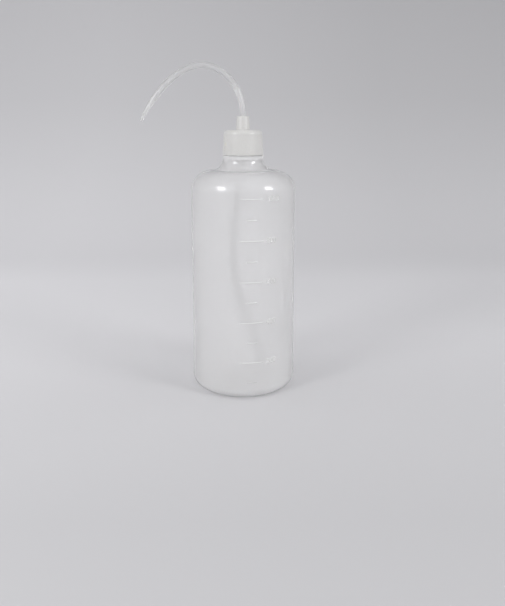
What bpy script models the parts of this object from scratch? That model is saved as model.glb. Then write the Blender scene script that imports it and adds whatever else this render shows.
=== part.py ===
"""One-litre squeeze wash bottle: bottle, screw cap, seal liner, spout tube and dip tube.

Metres, +Z up. The bottle's axis is the Z axis, its base stands on z = 0, and the spout points to -X.
Run with: blender --background --python part.py
"""

import bmesh
import bpy
from math import cos, pi, radians, sin
from mathutils import Vector

# Driving dimensions
SEGMENTS = 40

BODY_R = 0.0450
WALL = 0.0014
HEEL_R = 0.0087
SHOULDER_Z = 0.1723  # where the straight wall ends
SHOULDER_TOP_R = 0.0266
SHOULDER_TOP_Z = 0.1890
COLLAR_R = 0.0175
COLLAR_TOP_Z = 0.2011
FLARE_R = 0.0094
FLARE_TOP_Z = 0.1983

BASE_GROOVE_IN_R = 0.0245
BASE_GROOVE_OUT_R = 0.0343
BASE_GROOVE_DEPTH = 0.0006

NECK_R = 0.0139
MOUTH_R = 0.0125
RIM_Z = 0.2192

THREAD_PITCH = 0.0042
THREAD_TURNS = 1.25
THREAD_HEIGHT = 0.0011
THREAD_ROOT_WIDTH = 0.0022
THREAD_CREST_WIDTH = 0.0010
THREAD_SUNK = 0.0004  # how deep a ridge starts inside its wall
THREAD_FADE = radians(25)
NECK_THREAD_Z = 0.2081
CAP_THREAD_Z = NECK_THREAD_Z - THREAD_PITCH / 2

CAP_BOTTOM_Z = 0.2017
CAP_BOTTOM_R = 0.01745
CAP_TOP_Z = 0.2232
CAP_TOP_R = 0.01655
CAP_EDGE_R = 0.0037
CAP_BORE_R = 0.01545
CAP_CEILING_Z = 0.2213

BOSS_TOP_Z = 0.2347
BOSS_TOP_R = 0.0054
BOSS_FOOT_R = 0.00585
BOSS_EDGE_R = 0.0005

SOCKET_R = 0.0043
SOCKET_BOTTOM_Z = 0.2107
STOP_LOW_Z = 0.2225
STOP_HIGH_Z = 0.2236
STOP_R = 0.0017

LINER_BOTTOM_Z = 0.2195
LINER_TOP_Z = 0.2210
LINER_IN_R = 0.00635
LINER_OUT_R = 0.0146

TUBE_R = 0.00255
TUBE_BORE_R = 0.0016
TUBE_GAP = 0.0002  # radial gap between a tube and the hole it is pushed in
TUBE_SIDES = 14
TIP_R = 0.0011
TIP_BORE_R = 0.0006
TIP_TAPER = 0.0307

# The spout's centreline in the XZ plane: up out of the boss, over the top of the arch and down to the tip
SPOUT_FOOT_Z = 0.2240
ARCH_X = -0.0348
ARCH_Z = 0.2777
TIP_X = -0.0868
TIP_Z = 0.2307
TIP_SLOPE = radians(68.4)
SPOUT_RISE = 0.0276
ARCH_BACK = 0.01605
ARCH_FORWARD = 0.0236
TIP_LEAD = 0.0146

# The dip tube's centreline: down from its socket, bowed to -X, then curled to +X over the base
DIP_TOP_Z = 0.2221
DIP_BOW_X = -0.0089
DIP_BOW_Z = 0.1176
DIP_END_X = 0.01615
DIP_END_Z = 0.0092
DIP_END_SLOPE = radians(86)
DIP_RISE = 0.01485
DIP_BOW_BACK = 0.0362
DIP_BOW_FORWARD = 0.0564
DIP_END_LEAD = 0.0446


def clear_scene():
    for obj in list(bpy.data.objects):
        bpy.data.objects.remove(obj, do_unlink=True)


def make_material(name, colour, roughness, alpha=1.0):
    material = bpy.data.materials.new(name)
    material.use_nodes = True
    shader = material.node_tree.nodes["Principled BSDF"]
    shader.inputs["Base Color"].default_value = (*colour, 1.0)
    shader.inputs["Roughness"].default_value = roughness
    shader.inputs["Metallic"].default_value = 0.0
    shader.inputs["Alpha"].default_value = alpha
    return material


def add_object(name, bm, material, sharp_angle=radians(35)):
    bmesh.ops.recalc_face_normals(bm, faces=bm.faces)
    mesh = bpy.data.meshes.new(name)
    bm.to_mesh(mesh)
    bm.free()
    mesh.shade_smooth()
    mesh.set_sharp_from_angle(angle=sharp_angle)
    mesh.materials.append(material)
    obj = bpy.data.objects.new(name, mesh)
    bpy.context.scene.collection.objects.link(obj)
    return obj


def arc(centre_r, centre_z, radius, start, end, steps):
    """Points (r, z) on an arc in the profile plane; angles are from the outward radial direction."""
    angles = [start + (end - start) * i / steps for i in range(steps + 1)]
    return [(centre_r + radius * cos(a), centre_z + radius * sin(a)) for a in angles]


def ellipse_arc(centre_r, centre_z, radius_r, radius_z, start, end, steps):
    angles = [start + (end - start) * i / steps for i in range(steps + 1)]
    return [(centre_r + radius_r * cos(a), centre_z + radius_z * sin(a)) for a in angles]


def revolve(profile):
    """Turns a closed (r, z) outline about Z. A point with r = 0 becomes one vertex on the axis."""
    bm = bmesh.new()
    rings = []
    for r, z in profile:
        if r < 1e-6:
            rings.append([bm.verts.new((0, 0, z))])
            continue
        turns = [2 * pi * i / SEGMENTS for i in range(SEGMENTS)]
        rings.append([bm.verts.new((r * cos(a), r * sin(a), z)) for a in turns])
    for low, high in zip(rings, rings[1:] + rings[:1]):
        if len(low) == 1 and len(high) == 1:
            continue
        for i in range(SEGMENTS):
            j = (i + 1) % SEGMENTS
            if len(low) == 1:
                bm.faces.new((low[0], high[i], high[j]))
            elif len(high) == 1:
                bm.faces.new((low[i], low[j], high[0]))
            else:
                bm.faces.new((low[i], low[j], high[j], high[i]))
    return bm


def thread_ridge(root_r, start_z, outward):
    """A helical ridge that rises counter-clockwise. outward is 1 on a neck and -1 inside a cap."""
    bm = bmesh.new()
    sweep = 2 * pi * THREAD_TURNS
    steps = round(SEGMENTS * THREAD_TURNS)
    flank = (THREAD_ROOT_WIDTH - THREAD_CREST_WIDTH) / 2 / THREAD_HEIGHT
    sunk_half = THREAD_ROOT_WIDTH / 2 + flank * THREAD_SUNK
    rings = []
    for i in range(steps + 1):
        angle = sweep * i / steps
        fade = min(1.0, angle / THREAD_FADE, (sweep - angle) / THREAD_FADE)
        height = THREAD_HEIGHT * fade - 0.5 * THREAD_SUNK * (1 - fade)
        crest_half = THREAD_ROOT_WIDTH / 2 - flank * height
        mid_z = start_z + THREAD_PITCH * angle / (2 * pi)
        section = [(-THREAD_SUNK, -sunk_half), (height, -crest_half)]
        section += [(height, crest_half), (-THREAD_SUNK, sunk_half)]
        ring = []
        for reach, rise in section:
            r = root_r + outward * reach
            ring.append(bm.verts.new((r * cos(angle), r * sin(angle), mid_z + rise)))
        rings.append(ring)
    for one, two in zip(rings, rings[1:]):
        for k in range(4):
            bm.faces.new((one[k], one[(k + 1) % 4], two[(k + 1) % 4], two[k]))
    bm.faces.new(rings[0])
    bm.faces.new(rings[-1])
    return bm


def join_by_union(target, bm, name, material):
    """Adds a solid to the target with a Boolean union; the added solid itself stays out of the render."""
    tool = add_object(name, bm, material)
    tool.hide_render = True
    tool.display_type = "WIRE"
    union = target.modifiers.new(name, "BOOLEAN")
    union.operation = "UNION"
    union.solver = "EXACT"
    union.object = tool


def bezier(p0, p1, p2, p3, steps):
    points = []
    for i in range(steps + 1):
        t = i / steps
        s = 1 - t
        points.append(p0 * s**3 + p1 * 3 * s * s * t + p2 * 3 * s * t * t + p3 * t**3)
    return points


def pipe(points, outer, inner):
    """A hollow tube along points in the XZ plane. outer and inner give its radii from the length left."""
    bm = bmesh.new()
    across = Vector((0, 1, 0))
    lengths = [0.0]
    for a, b in zip(points, points[1:]):
        lengths.append(lengths[-1] + (b - a).length)
    rings = []
    for i, point in enumerate(points):
        along = (points[min(i + 1, len(points) - 1)] - points[max(i - 1, 0)]).normalized()
        side = across.cross(along).normalized()
        left = lengths[-1] - lengths[i]
        pair = []
        for radius in (outer(left), inner(left)):
            turns = [2 * pi * k / TUBE_SIDES for k in range(TUBE_SIDES)]
            pair.append([bm.verts.new(point + radius * (cos(a) * side + sin(a) * across)) for a in turns])
        rings.append(pair)
    for one, two in zip(rings, rings[1:]):
        for wall in (0, 1):
            for k in range(TUBE_SIDES):
                j = (k + 1) % TUBE_SIDES
                bm.faces.new((one[wall][k], one[wall][j], two[wall][j], two[wall][k]))
    for pair in (rings[0], rings[-1]):
        for k in range(TUBE_SIDES):
            j = (k + 1) % TUBE_SIDES
            bm.faces.new((pair[0][k], pair[0][j], pair[1][j], pair[1][k]))
    return bm


def shoulder_outline(inset):
    """The shoulder and the flare above it, from the side up to the collar. inset moves it inwards."""
    round_r = BODY_R - SHOULDER_TOP_R
    round_z = SHOULDER_TOP_Z - SHOULDER_Z
    dome = ellipse_arc(
        SHOULDER_TOP_R, SHOULDER_Z, round_r - inset, round_z - inset, 0, radians(84), 9
    )
    flare_z = FLARE_TOP_Z - SHOULDER_TOP_Z
    flare = ellipse_arc(
        COLLAR_R + FLARE_R, FLARE_TOP_Z, FLARE_R + inset, flare_z + inset, radians(264), radians(180), 7
    )
    return dome + flare


def bottle():
    material = make_material("bottle", (0.80, 0.80, 0.79), 0.42, 0.55)
    heel = arc(BODY_R - HEEL_R, HEEL_R, HEEL_R, radians(-90), 0, 6)
    groove_mid_r = (BASE_GROOVE_IN_R + BASE_GROOVE_OUT_R) / 2
    outline = [
        (0, 0),
        (BASE_GROOVE_IN_R, 0),
        (groove_mid_r, BASE_GROOVE_DEPTH),
        (BASE_GROOVE_OUT_R, 0),
    ]
    outline += heel + shoulder_outline(0)
    outline += [
        (COLLAR_R, COLLAR_TOP_Z),
        (NECK_R, COLLAR_TOP_Z + 0.0004),
        (NECK_R, RIM_Z - 0.0004),
        (NECK_R - 0.0004, RIM_Z),
        (MOUTH_R + 0.0003, RIM_Z),
        (MOUTH_R, RIM_Z - 0.0003),
        (MOUTH_R, COLLAR_TOP_Z),
    ]
    inner_collar_r = COLLAR_R - WALL
    outline.append((inner_collar_r, COLLAR_TOP_Z - 0.0035))
    outline += list(reversed(shoulder_outline(WALL)))[1:]
    outline += list(reversed(arc(BODY_R - HEEL_R, HEEL_R, HEEL_R - WALL, radians(-90), 0, 5)))
    outline.append((0, WALL))
    obj = add_object("bottle", revolve(outline), material)
    join_by_union(obj, thread_ridge(NECK_R, NECK_THREAD_Z, 1), "neck_thread", material)


def cap():
    material = make_material("cap", (0.86, 0.86, 0.84), 0.38)
    hole_r = TUBE_R + TUBE_GAP
    edge = arc(CAP_TOP_R - CAP_EDGE_R, CAP_TOP_Z - CAP_EDGE_R, CAP_EDGE_R, 0, radians(90), 7)
    outline = [(CAP_BORE_R + 0.0003, CAP_BOTTOM_Z), (CAP_BOTTOM_R - 0.0004, CAP_BOTTOM_Z)]
    outline += [(CAP_BOTTOM_R, CAP_BOTTOM_Z + 0.0004)] + edge
    outline += [
        (BOSS_FOOT_R + 0.0006, CAP_TOP_Z),
        (BOSS_FOOT_R, CAP_TOP_Z + 0.0006),
        (BOSS_TOP_R, BOSS_TOP_Z - BOSS_EDGE_R),
        (BOSS_TOP_R - BOSS_EDGE_R, BOSS_TOP_Z),
        (hole_r + 0.0003, BOSS_TOP_Z),
        (hole_r, BOSS_TOP_Z - 0.0003),
        (hole_r, STOP_HIGH_Z),
        (STOP_R, STOP_HIGH_Z),
        (STOP_R, STOP_LOW_Z),
        (hole_r, STOP_LOW_Z),
        (hole_r, SOCKET_BOTTOM_Z + 0.0003),
        (hole_r + 0.0003, SOCKET_BOTTOM_Z),
        (SOCKET_R, SOCKET_BOTTOM_Z),
        (SOCKET_R, CAP_CEILING_Z),
        (CAP_BORE_R - 0.0010, CAP_CEILING_Z),
        (CAP_BORE_R, CAP_CEILING_Z - 0.0010),
        (CAP_BORE_R, CAP_BOTTOM_Z + 0.0003),
    ]
    obj = add_object("cap", revolve(outline), material)
    join_by_union(obj, thread_ridge(CAP_BORE_R, CAP_THREAD_Z, -1), "cap_thread", material)


def seal_liner():
    material = make_material("seal_liner", (0.88, 0.88, 0.86), 0.75)
    outline = [
        (LINER_IN_R, LINER_BOTTOM_Z),
        (LINER_OUT_R, LINER_BOTTOM_Z),
        (LINER_OUT_R, LINER_TOP_Z - 0.0004),
        (LINER_OUT_R - 0.0010, LINER_TOP_Z),
        (LINER_IN_R, LINER_TOP_Z),
    ]
    add_object("seal_liner", revolve(outline), material)


def spout_route():
    foot = Vector((0, 0, SPOUT_FOOT_Z))
    leave = Vector((0, 0, BOSS_TOP_Z))
    top = Vector((ARCH_X, 0, ARCH_Z))
    tip = Vector((TIP_X, 0, TIP_Z))
    down = Vector((-cos(TIP_SLOPE), 0, -sin(TIP_SLOPE)))
    level = Vector((-1, 0, 0))
    rise = bezier(leave, leave + Vector((0, 0, SPOUT_RISE)), top - ARCH_BACK * level, top, 14)
    fall = bezier(top, top + ARCH_FORWARD * level, tip - TIP_LEAD * down, tip, 14)
    return [foot] + rise + fall[1:]


def spout_tube():
    material = make_material("spout_tube", (0.84, 0.84, 0.83), 0.25, 0.6)

    def taper(full, end):
        return lambda left: full if left > TIP_TAPER else end + (full - end) * left / TIP_TAPER

    tube = pipe(spout_route(), taper(TUBE_R, TIP_R), taper(TUBE_BORE_R, TIP_BORE_R))
    add_object("spout_tube", tube, material)


def dip_route():
    top = Vector((0, 0, DIP_TOP_Z))
    leave = Vector((0, 0, SOCKET_BOTTOM_Z))
    bow = Vector((DIP_BOW_X, 0, DIP_BOW_Z))
    end = Vector((DIP_END_X, 0, DIP_END_Z))
    down = Vector((cos(DIP_END_SLOPE), 0, -sin(DIP_END_SLOPE)))
    drop = Vector((0, 0, -1))
    upper = bezier(leave, leave + DIP_RISE * drop, bow - DIP_BOW_BACK * drop, bow, 12)
    lower = bezier(bow, bow + DIP_BOW_FORWARD * drop, end - DIP_END_LEAD * down, end, 12)
    return [top] + upper + lower[1:]


def dip_tube():
    material = make_material("dip_tube", (0.84, 0.84, 0.83), 0.25, 0.6)
    add_object("dip_tube", pipe(dip_route(), lambda left: TUBE_R, lambda left: TUBE_BORE_R), material)


clear_scene()
bottle()
cap()
seal_liner()
spout_tube()
dip_tube()
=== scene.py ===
"""Looks of the one-litre squeeze wash bottle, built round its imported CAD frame.

Every CAD node is replaced by a finer piece of the same size: the milky bottle with its thread, wavy
wall and moulded graduations, the satin cap, the foam liner and the two clear tubes.
"""

import bmesh
import bpy
from math import cos, pi, radians, sin
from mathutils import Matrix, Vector


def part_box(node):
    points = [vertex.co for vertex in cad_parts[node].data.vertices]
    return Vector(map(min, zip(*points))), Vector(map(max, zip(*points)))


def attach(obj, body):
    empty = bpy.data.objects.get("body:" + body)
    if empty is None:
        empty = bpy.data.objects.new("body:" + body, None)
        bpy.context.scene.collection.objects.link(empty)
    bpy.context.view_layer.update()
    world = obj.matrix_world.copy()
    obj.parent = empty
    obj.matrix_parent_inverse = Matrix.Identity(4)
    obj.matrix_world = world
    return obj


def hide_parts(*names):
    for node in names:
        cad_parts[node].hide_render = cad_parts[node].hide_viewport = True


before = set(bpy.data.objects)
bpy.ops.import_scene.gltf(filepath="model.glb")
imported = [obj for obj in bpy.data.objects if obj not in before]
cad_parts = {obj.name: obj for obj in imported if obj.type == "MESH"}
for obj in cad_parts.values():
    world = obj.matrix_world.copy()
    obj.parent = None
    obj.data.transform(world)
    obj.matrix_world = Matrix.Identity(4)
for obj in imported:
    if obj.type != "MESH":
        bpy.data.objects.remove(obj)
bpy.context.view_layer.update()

MM = 0.001
TURN = 160  # facets round the bottle and the cap

# Sizes taken from the CAD nodes
BOTTLE_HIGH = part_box("bottle")[1]
CAP_LOW, CAP_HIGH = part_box("cap")
LINER_LOW, LINER_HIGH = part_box("seal_liner")
SPOUT_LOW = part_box("spout_tube")[0]
DIP_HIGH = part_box("dip_tube")[1]
BODY_R = BOTTLE_HIGH.x
RIM_Z = BOTTLE_HIGH.z
CAP_BOTTOM_Z = CAP_LOW.z
CAP_BOTTOM_R = CAP_HIGH.x
BOSS_TOP_Z = CAP_HIGH.z

# Bottle, as in the CAD model
WALL = 1.4 * MM
HEEL_R = 8.7 * MM
SHOULDER_Z = 172.3 * MM
SHOULDER_TOP_R = 26.6 * MM
SHOULDER_TOP_Z = 189.0 * MM
COLLAR_R = 17.5 * MM
COLLAR_TOP_Z = 201.1 * MM
FLARE_R = 9.4 * MM
FLARE_TOP_Z = 198.3 * MM
BASE_GROOVE_IN_R = 24.5 * MM
BASE_GROOVE_OUT_R = 34.3 * MM
BASE_GROOVE_DEPTH = 0.6 * MM
NECK_R = 13.9 * MM
MOUTH_R = 12.5 * MM

# Screw thread
THREAD_PITCH = 4.2 * MM
THREAD_TURNS = 1.25
THREAD_HEIGHT = 1.1 * MM
THREAD_ROOT_WIDTH = 2.2 * MM
THREAD_CREST_WIDTH = 1.0 * MM
THREAD_FADE = radians(25)
NECK_THREAD_Z = 208.1 * MM
CAP_THREAD_Z = NECK_THREAD_Z - THREAD_PITCH / 2

# Cap
CAP_TOP_Z = 223.2 * MM
CAP_TOP_R = 16.55 * MM
CAP_EDGE_R = 3.7 * MM
CAP_BORE_R = 15.45 * MM
CAP_CEILING_Z = 221.3 * MM
BOSS_TOP_R = 5.4 * MM
BOSS_FOOT_R = 5.85 * MM
SOCKET_R = 4.3 * MM
SOCKET_BOTTOM_Z = 210.7 * MM
STOP_LOW_Z = 222.5 * MM
STOP_HIGH_Z = 223.6 * MM
STOP_R = 1.7 * MM
HOLE_R = 2.6 * MM  # closer round the tubes than in the CAD model, where the gap is 0.2 mm

# Tubes
TUBE_R = 2.55 * MM
TUBE_BORE_R = 1.6 * MM
TIP_R = 1.1 * MM
TIP_BORE_R = 0.6 * MM
TIP_TAPER = 30.7 * MM
TUBE_SIDES = 40
SPOUT_FOOT_Z = SPOUT_LOW.z
ARCH_X = -34.8 * MM
ARCH_Z = 277.7 * MM
TIP_X = -86.8 * MM
TIP_Z = 230.7 * MM
TIP_SLOPE = radians(68.4)
SPOUT_RISE = 27.6 * MM
ARCH_BACK = 16.05 * MM
ARCH_FORWARD = 23.6 * MM
TIP_LEAD = 14.6 * MM
DIP_TOP_Z = DIP_HIGH.z
DIP_BOW_X = -8.9 * MM
DIP_BOW_Z = 117.6 * MM
DIP_END_X = 16.15 * MM
DIP_END_Z = 9.2 * MM
DIP_END_SLOPE = radians(86)
DIP_RISE = 14.85 * MM
DIP_BOW_BACK = 36.2 * MM
DIP_BOW_FORWARD = 56.4 * MM
DIP_END_LEAD = 44.6 * MM

# Graduations, moulded in the wall: 100 mL of a cylinder this wide is one step high
GRADUATION_TOP_Z = 168.1 * MM
GRADUATION_STEP = 17.0 * MM
GRADUATION_TURN = radians(9)  # the middle of the lines, to the right of the front
LONG_LINE = 19.6 * MM
SHORT_LINE = 8.4 * MM
LINE_WIDTH = 0.75 * MM
RELIEF = 0.2 * MM
SUNK = 0.15 * MM
DIGIT_SIZE = 6.4 * MM
DIGIT_GAP = 2.6 * MM
DIGIT_BEVEL = 0.08 * MM

# Materials
MILKY_IOR = 1.3  # low, so that light is not trapped in the thin wall
GLOSS_IOR = 1.5
WALL_LAMP_SHARE = 0.66  # how much of a lamp's light passes straight through one milky surface
CLOUD_SCALE = 28.0
STREAK_SCALE = 160.0

# Camera
CAMERA_PLACE = (0.0, -0.519, 0.2233)
CAMERA_TILT = 7.81  # degrees down from level
CAMERA_PAN = radians(-0.894)
CAMERA_LENS = 35.66
CAMERA_SHIFT = -0.15

# Lamps: name, azimuth in degrees and power in watts
LAMPS = (("key_left", -50, 4.4), ("key_right", 59, 4.2))
LAMP_ELEVATION = 23
LAMP_DISTANCE = 1.15
LAMP_SIZE = 0.34
LAMP_AIM_Z = 0.15
ROOM_COLOUR = (0.98, 0.98, 1.0, 1)
ROOM_STRENGTH = 0.76


# ---------------------------------------------------------------- materials


def new_material(name, base, rough, **sockets):
    """A Principled material. Returns (material, nodes, links, shader)."""
    material = bpy.data.materials.new(name)
    material.use_nodes = True
    nodes = material.node_tree.nodes
    links = material.node_tree.links
    shader = nodes["Principled BSDF"]
    shader.inputs["Base Color"].default_value = (*base, 1.0)
    shader.inputs["Roughness"].default_value = rough
    for socket, value in sockets.items():
        shader.inputs[socket.replace("_", " ")].default_value = value
    return material, nodes, links, shader


def noise(nodes, links, scale, detail=3.0, stretch=(1, 1, 1)):
    """Noise over the object's own coordinates, in metres."""
    coords = nodes.new("ShaderNodeTexCoord")
    mapping = nodes.new("ShaderNodeMapping")
    mapping.inputs["Scale"].default_value = stretch
    links.new(coords.outputs["Object"], mapping.inputs["Vector"])
    texture = nodes.new("ShaderNodeTexNoise")
    texture.inputs["Scale"].default_value = scale
    texture.inputs["Detail"].default_value = detail
    links.new(mapping.outputs["Vector"], texture.inputs["Vector"])
    return texture.outputs["Fac"]


def spread(nodes, links, value, low, high):
    """Maps a 0..1 value to low..high."""
    span = nodes.new("ShaderNodeMapRange")
    span.inputs["From Min"].default_value = 0.25
    span.inputs["From Max"].default_value = 0.75
    span.inputs["To Min"].default_value = low
    span.inputs["To Max"].default_value = high
    links.new(value, span.inputs["Value"])
    return span.outputs["Result"]


def tint(nodes, links, value, one, two):
    ramp = nodes.new("ShaderNodeValToRGB")
    ramp.color_ramp.elements[0].position = 0.3
    ramp.color_ramp.elements[1].position = 0.7
    ramp.color_ramp.elements[0].color = (*one, 1)
    ramp.color_ramp.elements[1].color = (*two, 1)
    links.new(value, ramp.inputs["Fac"])
    return ramp.outputs["Color"]


def bump(nodes, links, height, depth, shader):
    node = nodes.new("ShaderNodeBump")
    node.inputs["Strength"].default_value = 1.0
    node.inputs["Distance"].default_value = depth
    links.new(height, node.inputs["Height"])
    links.new(node.outputs["Normal"], shader.inputs["Normal"])


def let_lamps_through(nodes, links, shader, share):
    """Lets this share of a lamp's light straight through each surface, so that the inside lights up."""
    path = nodes.new("ShaderNodeLightPath")
    clear = nodes.new("ShaderNodeBsdfTransparent")
    clear.inputs["Color"].default_value = (share, share, share, 1)
    mixed = nodes.new("ShaderNodeMixShader")
    links.new(path.outputs["Is Shadow Ray"], mixed.inputs["Fac"])
    links.new(shader.outputs["BSDF"], mixed.inputs[1])
    links.new(clear.outputs["BSDF"], mixed.inputs[2])
    links.new(mixed.outputs["Shader"], nodes["Material Output"].inputs["Surface"])


def milky_plastic(name, clearness, smoothest, roughest, gloss):
    """Blow-moulded polyethylene: milky, cloudy, with flow streaks that run up the wall."""
    material, nodes, links, shader = new_material(
        name, (0.99, 0.99, 0.985), (smoothest + roughest) / 2, IOR=MILKY_IOR, Transmission_Weight=clearness
    )
    shader.inputs["Coat Weight"].default_value = gloss
    shader.inputs["Coat Roughness"].default_value = 0.06
    shader.inputs["Coat IOR"].default_value = GLOSS_IOR
    cloud = noise(nodes, links, CLOUD_SCALE, 4.0)
    milk = tint(nodes, links, cloud, (0.920, 0.918, 0.920), (0.932, 0.930, 0.932))
    links.new(milk, shader.inputs["Base Color"])
    streak = noise(nodes, links, STREAK_SCALE, 3.0, (1, 1, 0.06))
    links.new(spread(nodes, links, streak, smoothest, roughest), shader.inputs["Roughness"])
    bump(nodes, links, cloud, 0.000008, shader)
    let_lamps_through(nodes, links, shader, WALL_LAMP_SHARE)
    return material


def relief_plastic():
    """The milky wall where it stands out in a line or a numeral, made opaque here."""
    material, nodes, links, shader = new_material("milky_relief", (0.76, 0.76, 0.75), 0.30, IOR=1.45)
    cloud = noise(nodes, links, CLOUD_SCALE, 4.0)
    links.new(tint(nodes, links, cloud, (0.75, 0.75, 0.74), (0.77, 0.77, 0.76)), shader.inputs["Base Color"])
    grain = noise(nodes, links, 900.0, 2.0)
    links.new(spread(nodes, links, grain, 0.26, 0.34), shader.inputs["Roughness"])
    bump(nodes, links, grain, 0.000008, shader)
    return material


def cap_plastic():
    """Natural white moulded polyethylene with a fine matt grain, its colour painted greyer than that white as
    painted shade for the dimmer light on the cap.
    """
    material, nodes, links, shader = new_material("cap_polyethylene", (0.80, 0.80, 0.785), 0.34, IOR=1.5)
    shader.inputs["Subsurface Weight"].default_value = 0.3
    shader.inputs["Subsurface Radius"].default_value = (1.0, 1.0, 0.9)
    shader.inputs["Subsurface Scale"].default_value = 0.0015
    cloud = noise(nodes, links, 60.0, 3.0)
    # Painted shade: the plastic's colour is set greyer than its natural white, for the dimmer light that
    # reaches the cap
    colour = tint(nodes, links, cloud, (0.60, 0.595, 0.58), (0.625, 0.62, 0.605))
    links.new(colour, shader.inputs["Base Color"])
    grain = noise(nodes, links, 1500.0, 2.0)
    links.new(spread(nodes, links, grain, 0.24, 0.32), shader.inputs["Roughness"])
    bump(nodes, links, grain, 0.00002, shader)
    return material


def tube_plastic(name, clearness, shade, through):
    """Soft clear tubing, a little milky and slightly cloudy."""
    material, nodes, links, shader = new_material(
        name, (shade, shade, shade), 0.30, IOR=MILKY_IOR, Transmission_Weight=clearness
    )
    cloud = noise(nodes, links, 90.0, 3.0)
    colour = tint(nodes, links, cloud, (shade - 0.01,) * 3, (shade + 0.01,) * 3)
    links.new(colour, shader.inputs["Base Color"])
    links.new(spread(nodes, links, cloud, 0.38, 0.44), shader.inputs["Roughness"])
    shader.inputs["Coat Weight"].default_value = 0.6
    shader.inputs["Coat Roughness"].default_value = 0.08
    shader.inputs["Coat IOR"].default_value = GLOSS_IOR
    grain = noise(nodes, links, 120.0, 1.0)
    bump(nodes, links, grain, 0.000001, shader)
    let_lamps_through(nodes, links, shader, through)
    return material


def liner_foam():
    """White closed-cell foam."""
    material, nodes, links, shader = new_material("liner_foam", (0.84, 0.84, 0.82), 0.8)
    cells = nodes.new("ShaderNodeTexVoronoi")
    cells.inputs["Scale"].default_value = 2600.0
    coords = nodes.new("ShaderNodeTexCoord")
    links.new(coords.outputs["Object"], cells.inputs["Vector"])
    colour = tint(nodes, links, cells.outputs["Distance"], (0.80, 0.80, 0.78), (0.87, 0.87, 0.85))
    links.new(colour, shader.inputs["Base Color"])
    bump(nodes, links, cells.outputs["Distance"], 0.0001, shader)
    return material


# ---------------------------------------------------------------- shapes


def arc(centre_r, centre_z, radius_r, radius_z, start, end, steps):
    """Points (r, z) on an ellipse's arc, with angles from the outward radial direction."""
    angles = [start + (end - start) * i / steps for i in range(steps + 1)]
    return [(centre_r + radius_r * cos(a), centre_z + radius_z * sin(a)) for a in angles]


def straight(start, end, steps):
    """Points from start to end, without start."""
    return [
        (start[0] + (end[0] - start[0]) * i / steps, start[1] + (end[1] - start[1]) * i / steps)
        for i in range(1, steps + 1)
    ]


def revolve(profile, push=None, inside_from=None, thick=None):
    """Turns a closed (r, z) outline about Z. push(r, z, angle) moves a point outwards, in metres.

    Faces from the outline's point inside_from onwards get the second material. Those where thick(z) is
    true get the third.
    """
    bm = bmesh.new()
    rings = []
    for r, z in profile:
        if r < 1e-6:
            rings.append([bm.verts.new((0, 0, z))])
            continue
        ring = []
        for i in range(TURN):
            angle = 2 * pi * i / TURN
            reach = r + (push(r, z, angle) if push else 0.0)
            ring.append(bm.verts.new((reach * cos(angle), reach * sin(angle), z)))
        rings.append(ring)
    for count, (low, high) in enumerate(zip(rings, rings[1:] + rings[:1])):
        if len(low) == 1 and len(high) == 1:
            continue
        for i in range(TURN):
            j = (i + 1) % TURN
            if len(low) == 1:
                face = bm.faces.new((low[0], high[i], high[j]))
            elif len(high) == 1:
                face = bm.faces.new((low[i], low[j], high[0]))
            else:
                face = bm.faces.new((low[i], low[j], high[j], high[i]))
            if thick and thick(face.calc_center_median().z):
                face.material_index = 2
            elif inside_from is not None and count >= inside_from:
                face.material_index = 1
    return bm


def finish_piece(name, bm, materials, body, node, sharp=40):
    bmesh.ops.recalc_face_normals(bm, faces=bm.faces)
    mesh = bpy.data.meshes.new(name)
    bm.to_mesh(mesh)
    bm.free()
    mesh.shade_smooth()
    mesh.set_sharp_from_angle(angle=radians(sharp))
    for material in materials:
        mesh.materials.append(material)
    obj = bpy.data.objects.new(name, mesh)
    bpy.context.scene.collection.objects.link(obj)
    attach(obj, body)
    if node:
        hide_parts(node)
    return obj


def thread_push(z, angle, start_z):
    """How far a thread that rises counter-clockwise from start_z stands out at this place."""
    best = 0.0
    sweep = 2 * pi * THREAD_TURNS
    for lap in range(2):
        turned = angle + 2 * pi * lap
        if turned > sweep:
            continue
        fade = max(0.0, min(1.0, turned / THREAD_FADE, (sweep - turned) / THREAD_FADE))
        away = abs(z - (start_z + THREAD_PITCH * turned / (2 * pi)))
        flank = (THREAD_ROOT_WIDTH - THREAD_CREST_WIDTH) / 2
        rise = (THREAD_ROOT_WIDTH / 2 - away) / flank
        best = max(best, THREAD_HEIGHT * fade * max(0.0, min(1.0, rise)))
    return best


def wall_wave(z, angle):
    """The gentle unevenness of a blow-moulded wall: never outwards, at most 0.3 mm inwards."""
    wave = sin(2 * angle + 31 * z) + 0.7 * sin(3 * angle - 47 * z + 1.3) + 0.5 * sin(5 * angle + 90 * z + 0.4)
    return -(0.15 * MM) * (1 + wave / 2.2)


def shoulder_outline(inset, steps):
    dome_r = BODY_R - SHOULDER_TOP_R - inset
    dome_z = SHOULDER_TOP_Z - SHOULDER_Z - inset
    dome = arc(SHOULDER_TOP_R, SHOULDER_Z, dome_r, dome_z, 0, radians(84), steps)
    flare_z = FLARE_TOP_Z - SHOULDER_TOP_Z + inset
    flare = arc(COLLAR_R + FLARE_R, FLARE_TOP_Z, FLARE_R + inset, flare_z, radians(264), radians(180), steps)
    return dome + flare


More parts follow.
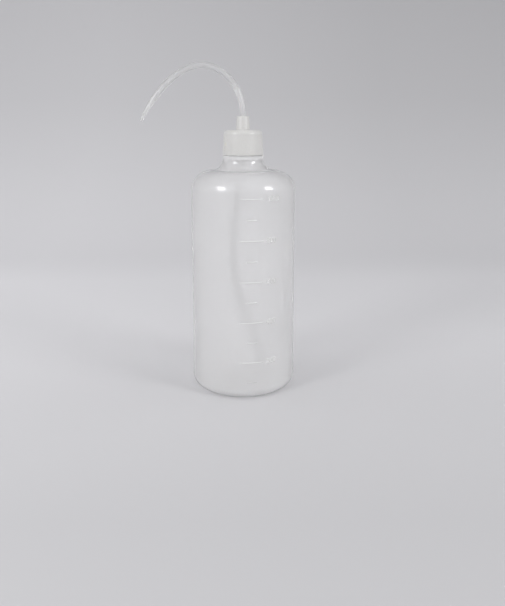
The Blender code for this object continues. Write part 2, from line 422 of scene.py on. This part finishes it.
def bottle_outline():
    """The wall's outline, outside first, and the number of the point where its inside begins."""
    groove_middle = (BASE_GROOVE_IN_R + BASE_GROOVE_OUT_R) / 2
    groove_half = (BASE_GROOVE_OUT_R - BASE_GROOVE_IN_R) / 2
    points = [(0, 0), (BASE_GROOVE_IN_R / 2, 0)]
    for i in range(13):
        share = i / 12
        lift = BASE_GROOVE_DEPTH * sin(pi * share) ** 2
        points.append((groove_middle + groove_half * (2 * share - 1), lift))
    points += arc(BODY_R - HEEL_R, HEEL_R, HEEL_R, HEEL_R, radians(-90), 0, 20)
    points += straight((BODY_R, HEEL_R), (BODY_R, SHOULDER_Z), 40)[:-1]
    points += shoulder_outline(0, 22)
    collar_z = COLLAR_TOP_Z + 0.3 * MM  # nearer to the cap than in the CAD model, where the gap is 0.6 mm
    points += arc(COLLAR_R - 0.2 * MM, collar_z - 0.2 * MM, 0.2 * MM, 0.2 * MM, 0, radians(90), 4)
    points += [(NECK_R + 0.4 * MM, collar_z), (NECK_R, collar_z + 0.4 * MM)]
    points += straight((NECK_R, collar_z + 0.4 * MM), (NECK_R, RIM_Z - 0.4 * MM), 70)
    points += arc(NECK_R - 0.4 * MM, RIM_Z - 0.4 * MM, 0.4 * MM, 0.4 * MM, radians(20), radians(90), 4)
    points += arc(MOUTH_R + 0.3 * MM, RIM_Z - 0.3 * MM, 0.3 * MM, 0.3 * MM, radians(90), radians(180), 4)
    inside_from = len(points)
    points += straight((MOUTH_R, RIM_Z - 0.3 * MM), (MOUTH_R, COLLAR_TOP_Z), 4)
    inner_collar = (COLLAR_R - WALL, COLLAR_TOP_Z - 3.5 * MM)
    points += straight((MOUTH_R, COLLAR_TOP_Z), inner_collar, 5)
    points += list(reversed(shoulder_outline(WALL, 18)))[1:]
    inner_wall = [(BODY_R - WALL, SHOULDER_Z), (BODY_R - WALL, HEEL_R)]
    points += straight(*inner_wall, 40)[:-1]
    points += list(reversed(arc(BODY_R - HEEL_R, HEEL_R, HEEL_R - WALL, HEEL_R - WALL, radians(-90), 0, 14)))
    points.append((BASE_GROOVE_IN_R / 2, WALL))
    points.append((0, WALL))
    return points, inside_from


def build_bottle(outside, inside, thick):
    def push(r, z, angle):
        if z > COLLAR_TOP_Z + 1.0 * MM:
            return thread_push(z, angle, NECK_THREAD_Z) if r > (NECK_R + MOUTH_R) / 2 else 0.0
        run_in = 20 * MM
        from_heel = min(1.0, max(0.0, (z - 4 * MM) / run_in))
        from_shoulder = min(1.0, max(0.0, (SHOULDER_Z + 6 * MM - z) / run_in))
        return wall_wave(z, angle) * (from_heel * from_shoulder) if r > BODY_R / 2 else 0.0

    outline, inside_from = bottle_outline()
    wall = revolve(outline, push, inside_from, lambda z: z < 2 * WALL or z > FLARE_TOP_Z)
    return finish_piece("bottle_shell", wall, (outside, inside, thick), "bottle", "bottle")


def rounded_bar(bm, length, width, height):
    """A moulded bar centred on the origin: x along it, y across it, z out of the wall, with a soft top."""
    steps = 24
    section = [(-width / 2, -SUNK), (-width / 2, height * 0.45)]
    section += [(-width * 0.33, height * 0.86), (0, height), (width * 0.33, height * 0.86)]
    section += [(width / 2, height * 0.45), (width / 2, -SUNK)]
    rings = []
    for i in range(steps + 1):
        along = -length / 2 + length * i / steps
        near_end = min(i, steps - i)
        shrink = 0.72 if near_end == 0 else 1.0
        rings.append([bm.verts.new((along, y * shrink, z if z < 0 else z * shrink)) for y, z in section])
    count = len(section)
    for one, two in zip(rings, rings[1:]):
        for k in range(count):
            bm.faces.new((one[k], one[(k + 1) % count], two[(k + 1) % count], two[k]))
    bm.faces.new(rings[0])
    bm.faces.new(rings[-1])


def digits(bm, text, left):
    """Adds the numeral to bm as raised solids, starting at x = left, centred on y = 0."""
    curve = bpy.data.curves.new("numeral", "FONT")
    curve.body = text
    curve.size = DIGIT_SIZE
    curve.align_y = "CENTER"
    curve.extrude = (RELIEF + SUNK) / 2
    curve.bevel_depth = DIGIT_BEVEL
    curve.bevel_resolution = 1
    curve.resolution_u = 6
    holder = bpy.data.objects.new("numeral", curve)
    bpy.context.scene.collection.objects.link(holder)
    graph = bpy.context.evaluated_depsgraph_get()
    mesh = bpy.data.meshes.new_from_object(holder.evaluated_get(graph))
    bpy.data.objects.remove(holder)
    bpy.data.curves.remove(curve)
    shift = (RELIEF - SUNK) / 2
    for vertex in mesh.vertices:
        vertex.co.x += left
        vertex.co.z += shift
    bm.from_mesh(mesh)
    bpy.data.meshes.remove(mesh)


def wrap_on_wall(bm, height, turn):
    """Bends flat work (x along, y up, z out) round the body at this height, centred at this angle."""
    for vertex in bm.verts:
        x, y, z = vertex.co
        angle = turn + x / BODY_R
        wall = BODY_R + wall_wave(height + y, angle - pi / 2)
        vertex.co = Vector(((wall + z) * sin(angle), -(wall + z) * cos(angle), height + y))


def build_graduations(material):
    bm = bmesh.new()
    for step in range(10):
        value = 1000 - 100 * step
        height = GRADUATION_TOP_Z - GRADUATION_STEP * step
        mark = bmesh.new()
        if value % 200 == 0:
            rounded_bar(mark, LONG_LINE, LINE_WIDTH, RELIEF)
            digits(mark, str(value), LONG_LINE / 2 + DIGIT_GAP)
        else:
            rounded_bar(mark, SHORT_LINE, LINE_WIDTH, RELIEF)
        bmesh.ops.remove_doubles(mark, verts=mark.verts, dist=1e-6)
        wrap_on_wall(mark, height, GRADUATION_TURN)
        part = bpy.data.meshes.new("mark")
        mark.to_mesh(part)
        mark.free()
        bm.from_mesh(part)
        bpy.data.meshes.remove(part)
    return finish_piece("graduations", bm, [material], "bottle", None, 50)


def cap_outline():
    side = [(CAP_BORE_R + 0.5 * MM, CAP_BOTTOM_Z), (CAP_BOTTOM_R - 0.2 * MM, CAP_BOTTOM_Z)]
    side += arc(CAP_BOTTOM_R - 0.2 * MM, CAP_BOTTOM_Z + 0.2 * MM, 0.2 * MM, 0.2 * MM, radians(-70), 0, 4)
    edge_z = CAP_TOP_Z - CAP_EDGE_R
    side += straight(side[-1], (CAP_TOP_R, edge_z), 10)[:-1]
    edge = arc(CAP_TOP_R - CAP_EDGE_R, edge_z, CAP_EDGE_R, CAP_EDGE_R, 0, radians(90), 16)
    fillet_r = 0.9 * MM
    fillet_z = CAP_TOP_Z + fillet_r
    fillet = arc(BOSS_FOOT_R + fillet_r, fillet_z, fillet_r, fillet_r, radians(270), radians(180), 6)
    lip = 0.7 * MM
    boss = arc(BOSS_TOP_R - lip, BOSS_TOP_Z - lip, lip, lip, 0, radians(90), 6)
    mouth_r = 0.35 * MM
    mouth = arc(HOLE_R + mouth_r, BOSS_TOP_Z - mouth_r, mouth_r, mouth_r, radians(90), radians(180), 4)
    inside = [
        (HOLE_R, STOP_HIGH_Z),
        (STOP_R, STOP_HIGH_Z),
        (STOP_R, STOP_LOW_Z),
        (HOLE_R, STOP_LOW_Z),
        (HOLE_R, SOCKET_BOTTOM_Z + 0.3 * MM),
        (HOLE_R + 0.3 * MM, SOCKET_BOTTOM_Z),
        (SOCKET_R - 0.3 * MM, SOCKET_BOTTOM_Z),
        (SOCKET_R, SOCKET_BOTTOM_Z + 0.3 * MM),
        (SOCKET_R, CAP_CEILING_Z),
        (CAP_BORE_R - 1.0 * MM, CAP_CEILING_Z),
        (CAP_BORE_R, CAP_CEILING_Z - 1.0 * MM),
    ]
    bore_end = (CAP_BORE_R, CAP_BOTTOM_Z + 0.5 * MM)
    return side + edge + fillet + boss + mouth + inside + straight(inside[-1], bore_end, 80)


def build_cap(material):
    def push(r, z, angle):
        inner = SOCKET_R * 2 < r < CAP_BORE_R + 0.1 * MM and z < CAP_CEILING_Z - 1.5 * MM
        return -thread_push(z, angle, CAP_THREAD_Z) if inner and z > CAP_BOTTOM_Z + 0.6 * MM else 0.0

    return finish_piece("screw_cap", revolve(cap_outline(), push), [material], "cap", "cap")


def build_liner(material):
    soft = 0.35 * MM
    inner = LINER_LOW.z
    bore = 6.35 * MM
    outer = LINER_HIGH.x
    points = [(bore, inner), (outer - soft, inner)]
    points += arc(outer - soft, inner + soft, soft, soft, radians(-60), 0, 4)
    points += [(outer, LINER_HIGH.z - 0.4 * MM), (outer - 1.0 * MM, LINER_HIGH.z), (bore, LINER_HIGH.z)]
    return finish_piece("foam_liner", revolve(points), [material], "seal", "seal_liner")


def bezier(p0, p1, p2, p3, steps):
    points = []
    for i in range(steps + 1):
        t = i / steps
        s = 1 - t
        points.append(p0 * s**3 + p1 * 3 * s * s * t + p2 * 3 * s * t * t + p3 * t**3)
    return points


def pipe(points, outer, inner, rounding):
    """A hollow tube along points in the XZ plane, its radii given from the length left, its ends rounded."""
    bm = bmesh.new()
    across = Vector((0, 1, 0))
    lengths = [0.0]
    for a, b in zip(points, points[1:]):
        lengths.append(lengths[-1] + (b - a).length)
    outside, inside = [], []
    for i, point in enumerate(points):
        along = (points[min(i + 1, len(points) - 1)] - points[max(i - 1, 0)]).normalized()
        side = across.cross(along).normalized()
        left = lengths[-1] - lengths[i]
        trim = rounding if i in (0, len(points) - 1) else 0.0
        for rings, radius in ((outside, outer(left) - trim), (inside, inner(left) + trim)):
            ring = []
            for k in range(TUBE_SIDES):
                turn = 2 * pi * k / TUBE_SIDES
                ring.append(bm.verts.new(point + radius * (cos(turn) * side + sin(turn) * across)))
            rings.append(ring)
    for rings in (outside, inside):
        for one, two in zip(rings, rings[1:]):
            for k in range(TUBE_SIDES):
                j = (k + 1) % TUBE_SIDES
                bm.faces.new((one[k], one[j], two[j], two[k]))
    for one, two in ((outside[0], inside[0]), (outside[-1], inside[-1])):
        for k in range(TUBE_SIDES):
            j = (k + 1) % TUBE_SIDES
            bm.faces.new((one[k], one[j], two[j], two[k]))
    return bm


def with_soft_ends(points, step):
    """The same route with an extra point just inside each end, so that the ends can be rounded."""
    first = points[0] + (points[1] - points[0]).normalized() * step
    last = points[-1] + (points[-2] - points[-1]).normalized() * step
    return [points[0], first] + points[1:-1] + [last, points[-1]]


def smooth(share):
    """0 to 1 with a soft run into 1, as drawn tubing swells to its full width."""
    share = min(1.0, max(0.0, share))
    return 1 - (1 - share) ** 1.6


def build_spout(material):
    foot = Vector((0, 0, SPOUT_FOOT_Z))
    leave = Vector((0, 0, BOSS_TOP_Z))
    top = Vector((ARCH_X, 0, ARCH_Z))
    tip = Vector((TIP_X, 0, TIP_Z))
    down = Vector((-cos(TIP_SLOPE), 0, -sin(TIP_SLOPE)))
    level = Vector((-1, 0, 0))
    rise = bezier(leave, leave + Vector((0, 0, SPOUT_RISE)), top - ARCH_BACK * level, top, 40)
    fall = bezier(top, top + ARCH_FORWARD * level, tip - TIP_LEAD * down, tip, 44)
    route = with_soft_ends([foot] + rise + fall[1:], 0.12 * MM)

    def taper(full, end):
        return lambda left: end + (full - end) * smooth(left / TIP_TAPER)

    tube = pipe(route, taper(TUBE_R, TIP_R), taper(TUBE_BORE_R, TIP_BORE_R), 0.1 * MM)
    return finish_piece("delivery_tube", tube, [material], "spout", "spout_tube")


def build_dip(material):
    top = Vector((0, 0, DIP_TOP_Z))
    leave = Vector((0, 0, SOCKET_BOTTOM_Z))
    bow = Vector((DIP_BOW_X, 0, DIP_BOW_Z))
    end = Vector((DIP_END_X, 0, DIP_END_Z))
    down = Vector((cos(DIP_END_SLOPE), 0, -sin(DIP_END_SLOPE)))
    drop = Vector((0, 0, -1))
    upper = bezier(leave, leave + DIP_RISE * drop, bow - DIP_BOW_BACK * drop, bow, 30)
    lower = bezier(bow, bow + DIP_BOW_FORWARD * drop, end - DIP_END_LEAD * down, end, 30)
    route = with_soft_ends([top] + upper + lower[1:], 0.12 * MM)
    tube = pipe(route, lambda left: TUBE_R, lambda left: TUBE_BORE_R, 0.1 * MM)
    return finish_piece("draw_tube", tube, [material], "dip", "dip_tube")


# ---------------------------------------------------------------- stage, light and camera

# Painted light on the paper along its length: metres back over the table and then up the wall, and the
# painted shade there, standing in for the lamps' pool of light
PAPER_FROM, PAPER_TO = -0.3, 1.7
PAPER_PAINTED_LIGHT = ((-0.2, 0.57), (0.13, 0.72), (0.36, 0.75), (0.85, 0.67), (1.32, 0.57), (1.62, 0.54))


def backdrop_paper():
    """Pale matt paper with painted light: a painted pool of light a little behind the bottle, and painted
    shade towards its top and its right.
    """
    material, nodes, links, shader = new_material("backdrop", (0.66, 0.657, 0.67), 0.75)
    coords = nodes.new("ShaderNodeTexCoord")
    length = nodes.new("ShaderNodeVectorMath")
    length.operation = "DOT_PRODUCT"
    length.inputs[1].default_value = (0, 1, 1)
    links.new(coords.outputs["Object"], length.inputs[0])
    along = nodes.new("ShaderNodeMapRange")
    along.inputs["From Min"].default_value = PAPER_FROM
    along.inputs["From Max"].default_value = PAPER_TO
    links.new(length.outputs["Value"], along.inputs["Value"])
    # Painted light and shade: the paper's colour is lightest a little behind the bottle and darker up the
    # wall, in place of the lamps' falloff
    ramp = nodes.new("ShaderNodeValToRGB")
    stops = ramp.color_ramp.elements
    while len(stops) < len(PAPER_PAINTED_LIGHT):
        stops.new(0.5)
    for stop, (place, shade) in zip(stops, PAPER_PAINTED_LIGHT):
        stop.position = (place - PAPER_FROM) / (PAPER_TO - PAPER_FROM)
        stop.color = (shade, shade * 0.995, shade * 1.015, 1)
    links.new(along.outputs["Result"], ramp.inputs["Fac"])
    parts = nodes.new("ShaderNodeSeparateXYZ")
    links.new(coords.outputs["Object"], parts.inputs["Vector"])
    # Painted shade: the paper's colour darkens towards its right, in place of light falling off on that side
    painted_side_shade = nodes.new("ShaderNodeMapRange")
    painted_side_shade.inputs["From Min"].default_value = -0.35
    painted_side_shade.inputs["From Max"].default_value = 0.35
    painted_side_shade.inputs["To Min"].default_value = 1.06
    painted_side_shade.inputs["To Max"].default_value = 0.91
    links.new(parts.outputs["X"], painted_side_shade.inputs["Value"])
    shaded = nodes.new("ShaderNodeVectorMath")
    shaded.operation = "SCALE"
    links.new(ramp.outputs["Color"], shaded.inputs[0])
    links.new(painted_side_shade.outputs["Result"], shaded.inputs["Scale"])
    links.new(shaded.outputs["Vector"], shader.inputs["Base Color"])
    return material


def stage():
    """A pale table that sweeps up into a backdrop, all in one sheet."""
    half, front, back, rise, radius = 2.2, -1.6, 1.1, 2.4, 0.6
    profile = [(front, 0.0), (0.0, 0.0), (back - radius, 0.0)]
    for i in range(1, 17):
        a = radians(90) * i / 16
        profile.append((back - radius + radius * sin(a), radius - radius * cos(a)))
    profile.append((back, rise))
    bm = bmesh.new()
    rows = [[bm.verts.new((x, y, z)) for x in (-half, half)] for y, z in profile]
    for one, two in zip(rows, rows[1:]):
        bm.faces.new((one[0], one[1], two[1], two[0]))
    mesh = bpy.data.meshes.new("backdrop")
    bm.to_mesh(mesh)
    bm.free()
    mesh.shade_smooth()
    material = backdrop_paper()
    mesh.materials.append(material)
    obj = bpy.data.objects.new("backdrop", mesh)
    bpy.context.scene.collection.objects.link(obj)


def soft_light(name, azimuth, power):
    """A square lamp aimed at the bottle. Azimuth 0 is in front of it, positive to its right."""
    a, e = radians(azimuth), radians(LAMP_ELEVATION)
    target = Vector((0, 0, LAMP_AIM_Z))
    way = Vector((sin(a) * cos(e), -cos(a) * cos(e), sin(e)))
    data = bpy.data.lights.new(name, "AREA")
    data.shape = "RECTANGLE"
    data.size = data.size_y = LAMP_SIZE
    data.energy = power
    lamp = bpy.data.objects.new(name, data)
    lamp.location = target + way * LAMP_DISTANCE
    lamp.rotation_mode = "QUATERNION"
    lamp.rotation_quaternion = way.to_track_quat("Z", "Y")
    bpy.context.scene.collection.objects.link(lamp)


def lighting():
    for name, azimuth, power in LAMPS:
        soft_light(name, azimuth, power)
    world = bpy.data.worlds.new("studio")
    world.use_nodes = True
    world.node_tree.nodes["Background"].inputs["Color"].default_value = ROOM_COLOUR
    world.node_tree.nodes["Background"].inputs["Strength"].default_value = ROOM_STRENGTH
    bpy.context.scene.world = world


def camera():
    data = bpy.data.cameras.new("camera")
    data.sensor_width = 36.0
    data.lens = CAMERA_LENS
    data.shift_y = CAMERA_SHIFT
    data.clip_start, data.clip_end = 0.01, 20
    cam = bpy.data.objects.new("camera", data)
    cam.location = CAMERA_PLACE
    cam.rotation_euler = (radians(90 - CAMERA_TILT), 0, CAMERA_PAN)
    bpy.context.scene.collection.objects.link(cam)
    bpy.context.scene.camera = cam


def light_paths():
    """Light crosses the milky wall many times before it comes out again."""
    cycles = bpy.context.scene.cycles
    cycles.max_bounces = 24
    cycles.diffuse_bounces = 10
    cycles.glossy_bounces = 10
    cycles.transmission_bounces = 16
    cycles.transparent_max_bounces = 16


def colour_management():
    view = bpy.context.scene.view_settings
    view.view_transform = "Standard"
    view.look = "None"
    view.exposure = 0.0
    view.gamma = 1.0


build_bottle(
    milky_plastic("milky_outside", 0.76, 0.38, 0.42, 1.0),
    milky_plastic("milky_inside", 0.76, 0.38, 0.42, 0.0),
    milky_plastic("milky_thick", 0.45, 0.40, 0.44, 1.0),
)
build_graduations(relief_plastic())
build_cap(cap_plastic())
build_liner(liner_foam())
build_spout(tube_plastic("delivery_tubing", 0.91, 0.89, 0.88))
build_dip(tube_plastic("draw_tubing", 0.55, 0.62, 0.50))
stage()
lighting()
camera()
light_paths()
colour_management()
